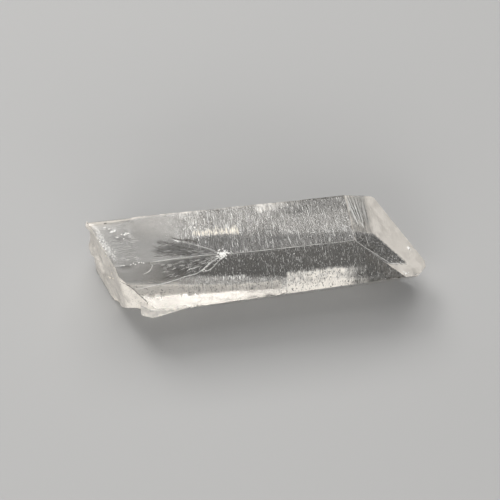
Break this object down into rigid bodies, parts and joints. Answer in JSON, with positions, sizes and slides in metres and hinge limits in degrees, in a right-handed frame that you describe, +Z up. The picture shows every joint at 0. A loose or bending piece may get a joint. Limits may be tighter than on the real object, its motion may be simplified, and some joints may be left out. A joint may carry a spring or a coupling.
{
  "type": "lemurian quartz point",
  "caption": "Natural clear quartz point lying on a prism face: hexagonal body with ladder striations, a slanted rhombohedral tip and a broken root.",
  "frame": {"origin": "middle of the crystal's box, on the surface that it lies on", "axes": "+X along the crystal's long axis towards its tip, +Z up"},
  "size_m": [0.0736, 0.0264, 0.0206],
  "materials": {
    "clear_quartz": "natural colourless quartz, glassy on fresh faces and finely frosted where the growth striations run"
  },
  "bodies": {
    "root": {"quartz_point": "clear_quartz"}
  },
  "joints": []
}
